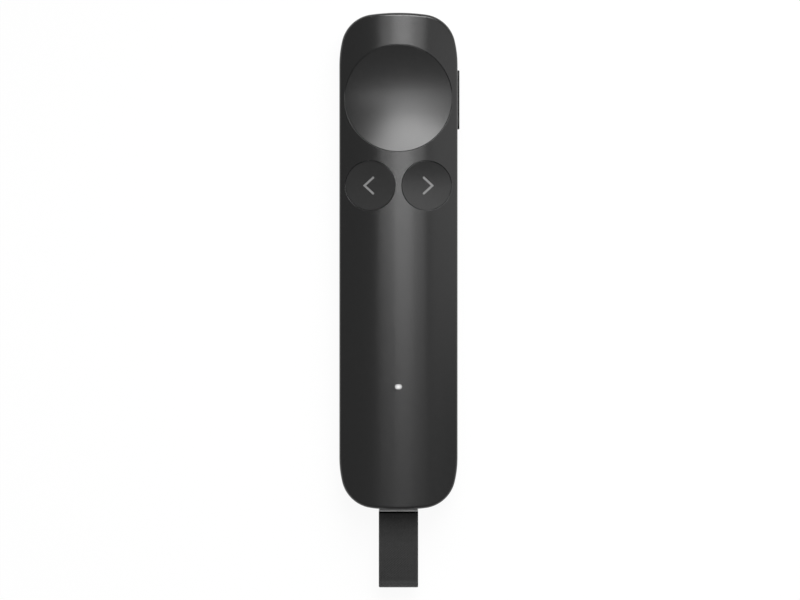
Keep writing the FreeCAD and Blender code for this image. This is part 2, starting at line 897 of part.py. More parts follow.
def make_motor_lead(side):
    """One motor lead, out of the motor's side and up to the board."""
    x = side * motor_lead_spacing / 2
    z = motor_underside() + motor_thickness / 2
    start_y = motor_y + math.sqrt(motor_radius**2 - x**2)
    start = Vector(x, start_y, z)
    corner = Vector(x, start_y + motor_lead_run, z)
    end = Vector(x, corner.y, board_underside)
    wire = tube([start, corner, end], motor_lead_bend_radius, motor_lead_radius)
    motor = rod(0.0, motor_y, motor_underside(), board_underside, motor_radius)
    return wire.cut(motor)


# Pointer key


def pointer_low_point():
    """Height of the lowest point of the pointer key's dish."""
    return case_height - pointer_dish_depth - pointer_dish_sink


def pointer_scoop(drop):
    """The ring whose tube hollows the pointer key: it follows the crown across the case and dips
    along it. It is lowered by drop."""
    reach = pointer_radius
    dip_radius = (reach**2 + pointer_dish_depth**2) / (2 * pointer_dish_depth)
    sag = case_height - crown_height(reach) - pointer_dish_depth
    across_radius = (reach**2 + sag**2) / (2 * sag)
    centre = Vector(0, pointer_y, pointer_low_point() - drop - across_radius)
    return seam_down(Part.makeTorus(across_radius + dip_radius, dip_radius, centre, AHEAD), centre)


def key_tabs(x, y, radius, skirt, width):
    """The two tabs that stop a key under the face, ahead of it and behind it."""
    top = crown_height(abs(x) + width / 2, face_wall) - key_tab_gap
    reach = radius + key_tab_reach
    low = (x - width / 2, y - reach, top - key_tab_height)
    bar = box(low, (x + width / 2, y + reach, top))
    return bar.cut(rod(x, y, key_floor, case_height, radius - skirt / 2))


def make_pointer_key():
    """The large dished key: a skin under the dish, a skirt that runs in the well, two tabs that stop
    it under the shell, and a post on its switch."""
    blank = rod(0.0, pointer_y, key_floor, case_height + overrun, pointer_radius)
    disc = blank.common(crown_bar(0.0)).cut(pointer_scoop(0.0))
    rim = [edge for edge in disc.Edges if edge.BoundBox.ZMin > key_floor + match_tolerance]
    disc = disc.makeFillet(pointer_rim_radius, rim)
    hollow_radius = pointer_radius - pointer_skirt
    hollow = rod(0.0, pointer_y, key_floor - overrun, case_height, hollow_radius)
    hollow = hollow.cut(pointer_scoop(pointer_skin))
    post_top = pointer_low_point() - pointer_skin / 2
    post = rod(0.0, pointer_y, plunger_top, post_top, pointer_post_radius)
    tabs = key_tabs(0.0, pointer_y, pointer_radius, pointer_skirt, pointer_tab_width)
    return fused([disc.cut(hollow), post, tabs])


# Slide keys


def slide_lean(side):
    """How far a slide key leans outwards, as a turn about a line along the case."""
    return Rotation(AHEAD, side * math.degrees(math.asin(slide_key_x / crown_radius)))


def slide_middle(side):
    """The middle of the level that a slide key's rim lies at, under the crown."""
    on_face = Vector(side * slide_key_x, slide_key_y, crown_height(slide_key_x))
    return on_face - slide_lean(side).multVec(UP) * slide_recess


def slide_scoop(side, drop):
    """The bar that hollows a slide key: it lies across the key, leans as the key leans, and dips
    along the case. It is lowered by drop."""
    dip_radius = (slide_radius**2 + slide_dish_depth**2) / (2 * slide_dish_depth)
    reach = 2 * slide_well_radius
    start = Vector(-reach, 0, dip_radius - slide_dish_depth - drop)
    bar = Part.makeCylinder(dip_radius, 2 * reach, start, RIGHT)
    bar.Placement = Placement(slide_middle(side), slide_lean(side)).multiply(bar.Placement)
    return bar


def slide_key_blank(side):
    """A slide key's round body up to its leaning, dished face, with the rim rounded."""
    top = case_height + overrun
    body = rod(side * slide_key_x, slide_key_y, key_floor, top, slide_radius)
    body = body.cut(slide_scoop(side, 0.0))
    rim = [edge for edge in body.Edges if edge.BoundBox.ZMin > key_floor + match_tolerance]
    return body.makeFillet(slide_rim_radius, rim)


def chevron_prism(side):
    """The chevron of one slide key, as a bar square to the key's face."""
    half_wide, half_high = icon_width / 2, icon_height / 2
    slope = math.atan2(icon_width, half_high)
    half_stroke = icon_stroke / 2
    tip_shift = half_stroke / math.cos(slope)
    end_x, end_y = half_stroke * math.cos(slope), half_stroke * math.sin(slope)
    corners = [
        (half_wide + tip_shift, 0),
        (-half_wide + end_x, half_high + end_y),
        (-half_wide - end_x, half_high - end_y),
        (half_wide - tip_shift, 0),
        (-half_wide - end_x, -half_high + end_y),
        (-half_wide + end_x, -half_high - end_y),
    ]
    points = [Vector(side * (x + icon_offset), y, -slide_well_radius) for x, y in corners]
    prism = Part.Face(Part.makePolygon(points + points[:1])).extrude(UP * 2 * slide_well_radius)
    prism.Placement = Placement(slide_middle(side), slide_lean(side))
    return prism


def make_slide_icon(side):
    """The chevron let into one slide key, flush with its dished face."""
    return slide_key_blank(side).common(chevron_prism(side)).cut(below_icon(side))


def below_icon(side):
    """All of a slide key's body that lies deeper than its chevron."""
    top = case_height + overrun
    body = rod(side * slide_key_x, slide_key_y, key_floor, top, slide_radius)
    return body.cut(slide_scoop(side, icon_depth))


def make_slide_key(side):
    """One slide key: face, skirt, a post on its switch, and two tabs that stop it under the shell."""
    x = side * slide_key_x
    roof = key_floor + slide_roof
    hollow = rod(x, slide_key_y, key_floor - overrun, roof, slide_radius - slide_skirt)
    body = slide_key_blank(side).cut([make_slide_icon(side), hollow])
    post = rod(x, slide_key_y, plunger_top, roof + slide_roof / 2, slide_post_radius)
    tabs = key_tabs(x, slide_key_y, slide_radius, slide_skirt, slide_tab_width)
    return fused([body, post, tabs])


# Side key


def make_side_key():
    """The long side key: a bar through the side wall, and a flange that stops it inside."""
    start = Vector(side_key_inner_face(), side_key_y, side_key_z)
    depth = half_width + side_key_proud - side_key_inner_face()
    bar = pill(start, AHEAD, UP, side_key_length, side_key_height, RIGHT * depth)
    outer = edges_on_plane(bar, RIGHT, half_width + side_key_proud)
    bar = bar.makeFillet(side_key_edge, outer)
    flange_length = side_key_length + 2 * side_flange_reach
    flange = pill(start, AHEAD, UP, flange_length, side_key_height, RIGHT * side_flange_thickness)
    return fused([bar, flange])


# Receiver and strap


def sleeve_outer_y():
    """The outer end of the sleeve, just inside the case's end wall."""
    return -outline_reach(sleeve_across, side_wall)


def sleeve_middle_y():
    """The middle of the sleeve's length."""
    return (sleeve_outer_y() + receiver_inner_y) / 2


def make_receiver_sleeve():
    """The square sleeve that the receiver slides in."""
    low_y, high_y = sleeve_outer_y(), port_mouth_y - sleeve_end_gap
    low = (-sleeve_across, low_y, port_z - sleeve_rise)
    high = (sleeve_across, high_y, port_z + sleeve_rise)
    block = rounded_box(low, high, receiver_edge_radius, AHEAD)
    return block.cut(receiver_opening(low_y - overrun, high_y + overrun, receiver_gap))


def stick_board_underside():
    """Height of the underside of the receiver's own board, which is level with its plug."""
    return port_z - stick_board_thickness / 2


def housing_room(gap, low_y, high_y):
    """The room over the receiver's board, drawn in by gap at the sides and above."""
    across = receiver_width / 2 - receiver_wall - gap
    top = port_z + receiver_height / 2 - receiver_wall - gap
    return box((-across, low_y, stick_board_underside()), (across, high_y, top))


def plug_pill(inset, low_y, high_y):
    """A length of the receiver's plug, drawn in by inset."""
    start = Vector(0, low_y, port_z)
    width, height = plug_shell_width - 2 * inset, plug_shell_height - 2 * inset
    return pill(start, RIGHT, UP, width, height, AHEAD * (high_y - low_y))


def make_receiver_housing():
    """The receiver's housing: open at the tail for its board, which lies on two rails, with the plug
    through its front wall."""
    block = receiver_opening(cap_inner_y, receiver_inner_y, 0.0)
    front_y = receiver_inner_y - receiver_wall
    low_room_across = receiver_width / 2 - receiver_wall - stick_rail
    low_room_z = port_z - receiver_height / 2 + receiver_wall
    low_room_low = (-low_room_across, cap_inner_y - overrun, low_room_z)
    low_room = box(low_room_low, (low_room_across, front_y, port_z))
    mouth = plug_pill(0.0, plug_tail_y(), receiver_inner_y + overrun)
    return block.cut([housing_room(0.0, cap_inner_y - overrun, front_y), low_room, mouth])


def strap_pin_places():
    """Where the two strap pins stand."""
    return [(side * strap_pin_x, cap_outer_y + strap_pin_inset) for side in (1, -1)]


def make_receiver_cap():
    """The end cap: its straight outer face stands just clear of the case's end, a slot open at both
    sides holds the strap's tails, and a spigot plugs the housing."""
    block = receiver_opening(cap_outer_y, cap_inner_y, 0.0)
    block = fused([block, housing_room(spigot_gap, cap_inner_y, cap_inner_y + spigot_length)])
    half_slot = strap_slot_height / 2
    low = (-receiver_width, cap_outer_y - overrun, port_z - half_slot)
    slot = box(low, (receiver_width, cap_outer_y + strap_slot_depth, port_z + half_slot))
    reach = receiver_height / 2 + overrun
    holes = []
    for x, y in strap_pin_places():
        holes.append(rod(x, y, port_z - reach, port_z + reach, strap_pin_radius + strap_pin_gap))
    return block.cut([slot] + holes)


def make_strap_pins():
    """Two pins across the slot, through the strap's tails."""
    half = receiver_height / 2 - strap_pin_gap
    pins = [rod(x, y, port_z - half, port_z + half, strap_pin_radius) for x, y in strap_pin_places()]
    return Part.makeCompound(pins)


def strap_steps():
    """The strap's middle line from its upper tail to the fold: straight runs as ("run", length) and
    arcs as ("turn", radius, angle), where a positive angle turns away from the strap's own middle."""
    flare = math.radians(strap_flare_angle)
    start_height = (strap_layer_gap + strap_thickness) / 2
    rise = strap_flare_radius * (1 - math.cos(flare)) + strap_flare_length * math.sin(flare)
    fold_radius = (start_height + rise) / math.cos(flare)
    reach = strap_flare_radius * math.sin(flare) + strap_flare_length * math.cos(flare)
    reach += 2 * strap_belly_radius * math.sin(flare) + fold_radius * (1 - math.sin(flare))
    tail_start = cap_outer_y + strap_slot_depth
    fold_y = -half_length - strap_reach + strap_thickness / 2
    tail = tail_start - fold_y - reach
    half_fold = math.pi / 2 - flare
    forward = [
        ("run", tail),
        ("turn", strap_flare_radius, flare),
        ("run", strap_flare_length),
        ("turn", strap_belly_radius, -2 * flare),
        ("turn", fold_radius, -half_fold),
    ]
    return tail_start, start_height, forward, forward[::-1]


def strap_side(offset):
    """One face of the strap as a list of edges, offset from the strap's middle line."""
    tail_start, start_height, forward, backward = strap_steps()
    y, z, heading = tail_start, start_height + offset, math.pi
    edges = []
    for step in forward + backward:
        start = Vector(0, y, port_z + z)
        if step[0] == "run":
            y += step[1] * math.cos(heading)
            z += step[1] * math.sin(heading)
            edges.append(Part.makeLine(start, Vector(0, y, port_z + z)))
            continue
        turn = -step[2]
        radius = step[1] + offset * math.copysign(1, turn)
        centre_way = heading + math.copysign(math.pi / 2, turn)
        centre_y, centre_z = y + radius * math.cos(centre_way), z + radius * math.sin(centre_way)
        places = []
        for share in (0.5, 1.0):
            way = centre_way + math.pi + turn * share
            y, z = centre_y + radius * math.cos(way), centre_z + radius * math.sin(way)
            places.append(Vector(0, y, port_z + z))
        edges.append(Part.Arc(start, *places).toShape())
        heading += turn
    return edges


def make_strap():
    """The strap: a tape folded into a slim loop, with holes for its pins."""
    outer = strap_side(strap_thickness / 2)
    inner = strap_side(-strap_thickness / 2)
    ends = []
    for place in (0, -1):
        share = 0 if place == 0 else -1
        ends.append(Part.makeLine(outer[place].Vertexes[share].Point, inner[place].Vertexes[share].Point))
    loop = Part.Face(Part.Wire(Part.__sortEdges__(outer + inner + ends)))
    loop.translate(RIGHT * (-strap_width / 2))
    strap = loop.extrude(RIGHT * strap_width)
    reach = receiver_height
    holes = []
    for x, y in strap_pin_places():
        holes.append(rod(x, y, port_z - reach, port_z + reach, strap_pin_radius + strap_hole_gap))
    return strap.cut(holes)


def plug_tail_y():
    """Where the plug's tail ends and the receiver's board begins."""
    return receiver_inner_y - plug_tail_length


def make_plug_shell():
    """The receiver's plug: a steel shell that runs into the charging port."""
    tip_y = receiver_inner_y + plug_shell_length
    bore = plug_pill(plug_shell_wall, plug_tail_y() - overrun, tip_y + overrun)
    return plug_pill(0.0, plug_tail_y(), tip_y).cut(bore)


def make_plug_core():
    """The contact carrier inside the plug, slotted for the port's tongue."""
    tip_y = receiver_inner_y + plug_shell_length - plug_core_recess
    across, rise = tongue_width / 2 + plug_slot_gap, tongue_thickness / 2 + plug_slot_gap
    low = (-across, tip_y - plug_slot_length, port_z - rise)
    slot = box(low, (across, tip_y + overrun, port_z + rise))
    return plug_pill(plug_shell_wall, plug_tail_y(), tip_y).cut(slot)


def make_stick_board():
    """The small board in the receiver's housing."""
    across = receiver_width / 2 - receiver_wall - stick_board_gap
    low = (-across, plug_tail_y() - stick_board_length, stick_board_underside())
    return box(low, (across, plug_tail_y(), stick_board_underside() + stick_board_thickness))


def make_stick_chip():
    """The radio chip on the receiver's board."""
    y = plug_tail_y() - stick_board_length / 2
    return centred_box(stick_chip_size, 0.0, y, stick_board_underside() + stick_board_thickness)


def board_chips():
    """The plain chips on the board, by name."""
    can_y = board_place(can_place_share)
    charger_y = port_back_y + charger_port_gap + charger_size[1] / 2
    crystal_x = (can_size[0] - crystal_size[0]) / 2
    crystal_y = can_y - (can_size[1] + crystal_size[1]) / 2 - crystal_gap
    antenna_y = board_nose_y - antenna_inset - antenna_size[1] / 2
    places = {
        "radio_chip": (radio_size, 0.0, can_y),
        "motion_sensor": (sensor_size, 0.0, board_place(sensor_place_share)),
        "charger_chip": (charger_size, charger_x, charger_y),
        "crystal": (crystal_size, crystal_x, crystal_y),
        "antenna": (antenna_size, 0.0, antenna_y),
        "status_led": (led_size, 0.0, light_y),
    }
    return {name: centred_box(size, x, y, board_top) for name, (size, x, y) in places.items()}


def sub_parts():
    """Every sub-part by name."""
    parts = {
        "top_shell": make_top_shell(),
        "bottom_shell": make_bottom_shell(),
        "back_pad": make_back_pad(),
        "case_screws": make_case_screws(),
        "board_screws": make_board_screws(),
        "main_board": make_board(),
        "radio_can": make_radio_can(),
        "capacitors": make_capacitors(),
        "light_pipe": make_light_pipe(),
        "charging_port_shell": make_port_shell(),
        "charging_port_tongue": make_port_tongue(),
        "battery": make_battery(),
        "battery_tape": make_battery_tape(),
        "battery_socket": make_battery_socket(),
        "battery_plug": plug_block(0.0),
        "battery_lead_positive": make_battery_lead(1),
        "battery_lead_negative": make_battery_lead(-1),
        "vibration_motor": make_motor(),
        "motor_tape": make_motor_tape(),
        "motor_leads": Part.makeCompound([make_motor_lead(1), make_motor_lead(-1)]),
        "receiver_sleeve": make_receiver_sleeve(),
        "pointer_switch": make_switch(0.0, pointer_y),
        "pointer_key": make_pointer_key(),
        "pointer_plunger": make_plunger(0.0, pointer_y),
        "side_switch": make_side_switch(),
        "side_key": make_side_key(),
        "side_plunger": make_side_plunger(),
        "receiver_housing": make_receiver_housing(),
        "receiver_cap": make_receiver_cap(),
        "receiver_plug_shell": make_plug_shell(),
        "receiver_plug_core": make_plug_core(),
        "receiver_board": make_stick_board(),
        "receiver_chip": make_stick_chip(),
        "strap": make_strap(),
        "strap_pins": make_strap_pins(),
    }
    parts.update(board_chips())
    for name, side in (("next", 1), ("back", -1)):
        parts[name + "_switch"] = make_switch(side * slide_key_x, slide_key_y)
        parts[name + "_key"] = make_slide_key(side)
        parts[name + "_icon"] = make_slide_icon(side)
        parts[name + "_plunger"] = make_plunger(side * slide_key_x, slide_key_y)
    return parts


def main():
    """Writes one STEP file per sub-part and prints what it made."""
    os.makedirs("parts", exist_ok=True)
    for name, shape in sub_parts().items():
        bounds = shape.BoundBox
        state = "valid" if shape.isValid() else "NOT VALID"
        print(
            f"{name}: {len(shape.Solids)} solid, {state}, {shape.Volume:.2f} mm3,"
            f" x {bounds.XMin:.2f} {bounds.XMax:.2f}, y {bounds.YMin:.2f} {bounds.YMax:.2f},"
            f" z {bounds.ZMin:.2f} {bounds.ZMax:.2f}"
        )
        shape.exportStep(f"parts/{name}.step")


main()
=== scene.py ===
# %% [markdown]
# A wireless presentation clicker, seen straight from above: a slim dark case with a large dished
# pointer key, two round slide keys, a long side key, a lit status window, and a receiver in the tail
# with a folded tape as its pull. The construction comes ready made and stays fixed. This lesson
# gives it a camera, lamps, finishes, and the soft and fine pieces that are best modelled here.

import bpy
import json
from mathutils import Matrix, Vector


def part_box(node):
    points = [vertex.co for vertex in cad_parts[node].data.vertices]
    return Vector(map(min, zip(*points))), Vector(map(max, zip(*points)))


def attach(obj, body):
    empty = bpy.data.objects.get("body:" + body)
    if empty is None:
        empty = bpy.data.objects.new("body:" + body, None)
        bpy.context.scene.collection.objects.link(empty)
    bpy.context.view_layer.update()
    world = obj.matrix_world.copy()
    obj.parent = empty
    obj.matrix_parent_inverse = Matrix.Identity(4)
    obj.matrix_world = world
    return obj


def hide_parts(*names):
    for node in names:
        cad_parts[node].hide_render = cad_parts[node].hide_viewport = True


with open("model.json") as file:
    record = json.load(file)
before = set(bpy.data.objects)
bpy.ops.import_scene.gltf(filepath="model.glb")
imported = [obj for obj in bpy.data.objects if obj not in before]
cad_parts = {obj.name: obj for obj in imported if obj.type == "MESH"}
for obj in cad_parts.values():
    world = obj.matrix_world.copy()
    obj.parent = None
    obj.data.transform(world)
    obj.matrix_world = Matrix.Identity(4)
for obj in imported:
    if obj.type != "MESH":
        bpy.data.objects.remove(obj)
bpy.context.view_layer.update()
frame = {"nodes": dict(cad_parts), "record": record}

# %% Units and the other modules
import json
import math

import bpy
from mathutils import Matrix, Vector

MM = 0.001
case_low, case_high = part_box("top_shell")
print("The case is", round((case_high - case_low).y / MM, 1), "mm long")

# %% [markdown]
# The camera looks straight down, as a product picture of a flat thing does. It could be orthographic,
# but a long lens from far away gives nearly the same picture and works for every other view too. The
# picture's scale comes from the width of the tape, so it holds at the height of the tape and of the
# case's widest outline. The case's middle is placed by its pixel.

# %% Camera
PICTURE_SIZE = (800, 600)
CASE_MIDDLE_PIXEL = (398.47, 261.35)
PIXEL = 0.254 * MM
CAMERA_DISTANCE = 3000 * MM
OUTLINE_HEIGHT = 7 * MM

camera_x = (PICTURE_SIZE[0] / 2 - CASE_MIDDLE_PIXEL[0]) * PIXEL
camera_y = (CASE_MIDDLE_PIXEL[1] - PICTURE_SIZE[1] / 2) * PIXEL
bpy.ops.object.camera_add(
    location=(camera_x, camera_y, OUTLINE_HEIGHT + CAMERA_DISTANCE), rotation=(0, 0, 0)
)
camera = bpy.context.object
camera.name = "camera"
camera.data.lens = camera.data.sensor_width * CAMERA_DISTANCE / (PICTURE_SIZE[0] * PIXEL)
bpy.context.scene.camera = camera
bpy.context.scene.view_settings.view_transform = "Standard"
print("Lens:", round(camera.data.lens, 1), "mm")

# %% [markdown]
# A product picture of a dark thing is lit by the shapes that it mirrors. A tall soft box stands close
# to the nose and leans over it, so its image runs along the crown as a band and fills the far side of
# the dish. A long strip above evens the band out, a broad canopy overhead softens the right of it,
# and a panel on the right lifts that flank. Nothing stands low behind the nose, because a dark satin
# face mirrors such a lamp strongly when it is seen from the tail, and would look white there. Each
# lamp is a rectangle given by its middle, its size and the way that it faces.

# %% Lamps
SOFT_BOX_TOP = Vector((46 * MM, 193 * MM, 1039 * MM))
SOFT_BOX_FOOT = Vector((46 * MM, 162 * MM, 120 * MM))
SOFT_BOX_WIDTH = 207 * MM
SOFT_BOX_RADIANCE = 5.7
STRIP_PLACE = Vector((-48 * MM, 60 * MM, 1200 * MM))
STRIP_SIZE = (598 * MM, 32 * MM)
STRIP_RADIANCE = 8.3
STRIP_AIM = Vector((0, 30 * MM, 10 * MM))
PANEL_PLACE = Vector((383 * MM, 34 * MM, 429 * MM))
PANEL_SIZE = (107 * MM, 592 * MM)
PANEL_RADIANCE = 0.73
CANOPY_PLACE = Vector((157 * MM, 221 * MM, 899 * MM))
CANOPY_SIZE = (449 * MM, 451 * MM)
CANOPY_RADIANCE = 1.9


def area_lamp(name, place, size, radiance, facing, across):
    """A rectangular lamp of that radiance, which the camera doesn't see."""
    facing = facing.normalized()
    across = (across - facing * across.dot(facing)).normalized()
    turn = Matrix((across, facing.cross(-across), -facing)).transposed()
    bpy.ops.object.light_add(type="AREA", location=place, rotation=turn.to_euler())
    lamp = bpy.context.object
    lamp.name = name
    lamp.data.shape = "RECTANGLE"
    lamp.data.size, lamp.data.size_y = size
    lamp.data.energy = radiance * math.pi * size[0] * size[1]
    lamp.visible_camera = False
    print(name, round(lamp.data.energy, 2), "W")


lean = SOFT_BOX_FOOT - SOFT_BOX_TOP
across_x, across_y = Vector((1, 0, 0)), Vector((0, 1, 0))
area_lamp(
    "soft_box",
    (SOFT_BOX_TOP + SOFT_BOX_FOOT) / 2,
    (SOFT_BOX_WIDTH, lean.length),
    SOFT_BOX_RADIANCE,
    lean.cross(across_x),
    across_x,
)
area_lamp("strip", STRIP_PLACE, STRIP_SIZE, STRIP_RADIANCE, STRIP_AIM - STRIP_PLACE, across_x)
area_lamp("side_panel", PANEL_PLACE, PANEL_SIZE, PANEL_RADIANCE, -across_x, across_y)
area_lamp("canopy", CANOPY_PLACE, CANOPY_SIZE, CANOPY_RADIANCE, Vector((0, 0, -1)), across_x)

# %% [markdown]
# Shaders are written as sums. Paint wraps one output of a node, arithmetic on it adds Math nodes, and
# one method adds every other kind of node, so a finish reads as its recipe. The other way, placing
# and linking each node by hand, would take four lines for each plus sign.


# %% Shader maths
class Paint:
    """One output of a shader node. Arithmetic on it adds Math nodes, node() adds any other."""

    def __init__(self, tree, output=None):
        self.tree = tree
        self.output = output

    def node(self, kind, settings=None, sockets=None, output=0):
        """Adds a node, sets it up, fills its sockets with numbers or links, returns one output."""
        made = self.tree.nodes.new("ShaderNode" + kind)
        for name, value in (settings or {}).items():
            setattr(made, name, value)
        for place, value in (sockets or {}).items():
            if isinstance(value, Paint):
                self.tree.links.new(value.output, made.inputs[place])
            else:
                made.inputs[place].default_value = value
        return Paint(self.tree, made.outputs[output]) if made.outputs else None

    def math(self, operation, *others):
        """A Math node on this value, and on the others where it takes more."""
        return self.node("Math", {"operation": operation}, dict(enumerate((self, *others))))

    def __add__(self, other):
        return self.math("ADD", other)

    __radd__ = __add__

    def __sub__(self, other):
        return self.math("SUBTRACT", other)

    def __rsub__(self, other):
        return self.math("MULTIPLY_ADD", -1.0, other)

    def __mul__(self, other):
        return self.math("MULTIPLY", other)

    __rmul__ = __mul__

    def __truediv__(self, other):
        return self.math("DIVIDE", other)

    def __lt__(self, other):
        return self.math("LESS_THAN", other)

    def __gt__(self, other):
        return self.math("GREATER_THAN", other)

    def __abs__(self):
        return self.math("ABSOLUTE")

    def within(self, low, high):
        """This value brought from low..high to 0..1, and held there."""
        return self.node("MapRange", None, {0: self, 1: low, 2: high})


def grey(level):
    """A grey colour."""
    return (level, level, level, 1)


# A Mix node has sockets for numbers, for vectors and for colours. These are the ones for colours.
MIX_LOW, MIX_HIGH, MIX_RESULT = 6, 7, 2


def mix_colours(mask, low, high):
    """The low colour where mask is 0, the high colour where it is 1."""
    sockets = {0: mask, MIX_LOW: low, MIX_HIGH: high}
    return mask.node("Mix", {"data_type": "RGBA"}, sockets, MIX_RESULT)


# %% [markdown]
# Every finish starts the same way: a Principled shader with its plain numbers set on its own sockets,
# and a start for its patterns, which read Object coordinates. Those are metres on this model, so the
# scale of a noise is the number of its grains in a metre.


# %% Starting a finish
SMOOTH, PLAIN, CLOUDY, RICH = 1.0, 2.0, 3.0, 4.0  # how much detail a noise has
LEVEL_FACE = 0.5  # a normal whose Z is larger belongs to a face that looks up or down


class Finish:
    """A material with its main shader and the coordinates that its patterns read."""

    def __init__(self, name, colour, roughness, **plain):
        self.material = bpy.data.materials.new(name)
        self.material.use_nodes = True
        tree = self.material.node_tree
        self.shader = tree.nodes["Principled BSDF"]
        self.paint = Paint(tree)
        self.place = self.paint.node("TexCoord", output="Object")
        self.set("Base Color", colour)
        self.set("Roughness", roughness)
        for name_of_socket, value in plain.items():
            self.set(name_of_socket.replace("_", " "), value)

    def set(self, socket, value):
        """Links a paint to one of the shader's sockets, or sets a number or colour on it."""
        if isinstance(value, Paint):
            self.paint.tree.links.new(value.output, self.shader.inputs[socket])
        else:
            self.shader.inputs[socket].default_value = value

    def axis(self, name):
        """One coordinate of the place, X, Y or Z."""
        return self.paint.node("SeparateXYZ", None, {0: self.place}, name)

    def noise(self, grain, detail=PLAIN, stretch=(1, 1, 1)):
        """Noise with grains of that size, wider along the axes whose stretch is above 1."""
        shrink = [1 / share for share in stretch]
        place = self.paint.node("Mapping", None, {"Vector": self.place, "Scale": shrink})
        sockets = {"Vector": place, "Scale": 1 / grain, "Detail": detail}
        return self.paint.node("TexNoise", None, sockets)

    def lies_flat(self):
        """1 on faces that look up or down, 0 on upright ones."""
        facing = self.paint.node("NewGeometry", output="True Normal")
        return abs(self.paint.node("SeparateXYZ", None, {0: facing}, "Z")) > LEVEL_FACE

    def bump(self, height, depth):
        """Raises the surface by depth where the height is 1."""
        made = self.paint.node("Bump", None, {"Height": height, "Distance": depth})
        self.set("Normal", made)


FINISHES = {}
print("Shader tools are ready")

# %% [markdown]
# The rest of the light is the room's own, faint and the same from all round. A room that is black
# beyond the tail would draw the tail's rim darker, but seen from the nose the whole face would then
# mirror blackness and lose its shape.

# %% Room light
ROOM_LEVEL = 0.224

world = bpy.data.worlds.new("room")
world.use_nodes = True
background = world.node_tree.nodes["Background"]
background.inputs["Color"].default_value = grey(1.0)
background.inputs["Strength"].default_value = ROOM_LEVEL
bpy.context.scene.world = world
print("Room level:", ROOM_LEVEL)

# %% [markdown]
# The floor is plain and pale, and curls up far away so that low views end in it too. To the camera,
# and in reflections, most of its light is its own white, and the rest is real light on it, which is
# what keeps the clicker's soft shadow. Lighting it up with the lamps would have overlit the case. It
# lies a hair under the pad, because two faces in one plane flicker where they are seen from below.

# %% Floor
FLOOR_RINGS = [(3300, 0), (3600, 60), (3850, 300), (4000, 1300)]
FLOOR_CORNERS = 96
FLOOR_DROP = 0.02 * MM
PAPER_GREY = 0.8
OWN_WHITE_SHARE = 0.9
OWN_WHITE_LEVEL = 1.035

bpy.ops.object.select_all(action="DESELECT")
bpy.ops.mesh.primitive_circle_add(
    vertices=FLOOR_CORNERS,
    radius=FLOOR_RINGS[0][0] * MM,
    fill_type="NGON",
    location=(0, 0, -FLOOR_DROP),
)
floor = bpy.context.object
floor.name = "floor"
bpy.ops.object.mode_set(mode="EDIT")
bpy.ops.mesh.select_mode(type="EDGE")
bpy.ops.mesh.select_all(action="SELECT")
for (radius, height), (next_radius, next_height) in zip(FLOOR_RINGS, FLOOR_RINGS[1:]):
    bpy.ops.mesh.region_to_loop()
    rise = (next_height - height) * MM
    bpy.ops.mesh.extrude_edges_move(TRANSFORM_OT_translate={"value": (0, 0, rise)})
    spread = next_radius / radius
    bpy.ops.transform.resize(value=(spread, spread, 1))
bpy.ops.mesh.select_all(action="SELECT")
bpy.ops.mesh.normals_make_consistent(inside=True)
bpy.ops.object.mode_set(mode="OBJECT")
bpy.ops.object.shade_smooth()

floor_material = bpy.data.materials.new("pale_floor")
floor_material.use_nodes = True
floor_tree = floor_material.node_tree
floor_tree.nodes.clear()
light = Paint(floor_tree)
seen = light.node("LightPath", output="Is Camera Ray")
seen = seen.math("MAXIMUM", light.node("LightPath", output="Is Glossy Ray"))
seen = seen.math("MAXIMUM", light.node("LightPath", output="Is Transmission Ray"))
paper = light.node("BsdfDiffuse", None, {"Color": grey(PAPER_GREY)})
white = light.node("Emission", None, {"Color": grey(1.0), "Strength": OWN_WHITE_LEVEL})
blend = light.node("MixShader", None, {0: seen * OWN_WHITE_SHARE, 1: paper, 2: white})
light.node("OutputMaterial", None, {"Surface": blend})
floor.data.materials.append(floor_material)
print("Floor radius:", FLOOR_RINGS[-1][0], "mm")

# %% [markdown]
# The case is dark graphite with a fine blasted texture. Its grains are finer than a tenth of a
# millimetre, so from above they only soften the shine. A little mottling in colour and roughness
# keeps the wide plain face from looking like a painted slab. The next key is pressed at every slide,
# which polishes it, and the back key is hardly used, so it keeps more of the mould's dullness. The
# side key is duller still, for grip.

# %% Case and key finishes
GRAPHITE = 0.0125
MOTTLE_SIZE = 1.1 * MM
MOTTLE_SHADES = (0.9, 1.1)
SHINE_CHANGE = 0.04
GRAIN_DEPTH = 0.0016 * MM
MOULDED_GLOSS, RUBBERY_GLOSS = 1.6, 1.36
# Each skin's roughness and the size of its grain
GRAPHITE_SKINS = {
    "blasted_graphite": (0.202, 0.09 * MM),
    "satin_graphite": (0.257, 0.06 * MM),
    "rubbed_key_graphite": (0.225, 0.07 * MM),
    "fresh_key_graphite": (0.31, 0.07 * MM),
    "dull_graphite": (0.55, 0.09 * MM),
}


def graphite(name, gloss=MOULDED_GLOSS):
    """A dark satin skin: fine grain in the relief, faint mottling in colour and shine."""
    roughness, grain = GRAPHITE_SKINS[name]
    made = Finish(name, grey(GRAPHITE), roughness, IOR=gloss)
    mottle = made.noise(MOTTLE_SIZE, CLOUDY)
    darker, lighter = (grey(GRAPHITE * shade) for shade in MOTTLE_SHADES)
    made.set("Base Color", mix_colours(mottle, darker, lighter))
    made.set("Roughness", roughness - SHINE_CHANGE / 2 + mottle * SHINE_CHANGE)
    made.bump(made.noise(grain, SMOOTH), GRAIN_DEPTH)
    return made.material


FINISHES["case_plastic"] = graphite("blasted_graphite")
FINISHES["pointer_face"] = graphite("satin_graphite")
FINISHES["key_face"] = graphite("rubbed_key_graphite")
back_skin = graphite("fresh_key_graphite")
side_skin = graphite("dull_graphite", gloss=RUBBERY_GLOSS)
print("Graphite finishes:", len(GRAPHITE_SKINS))

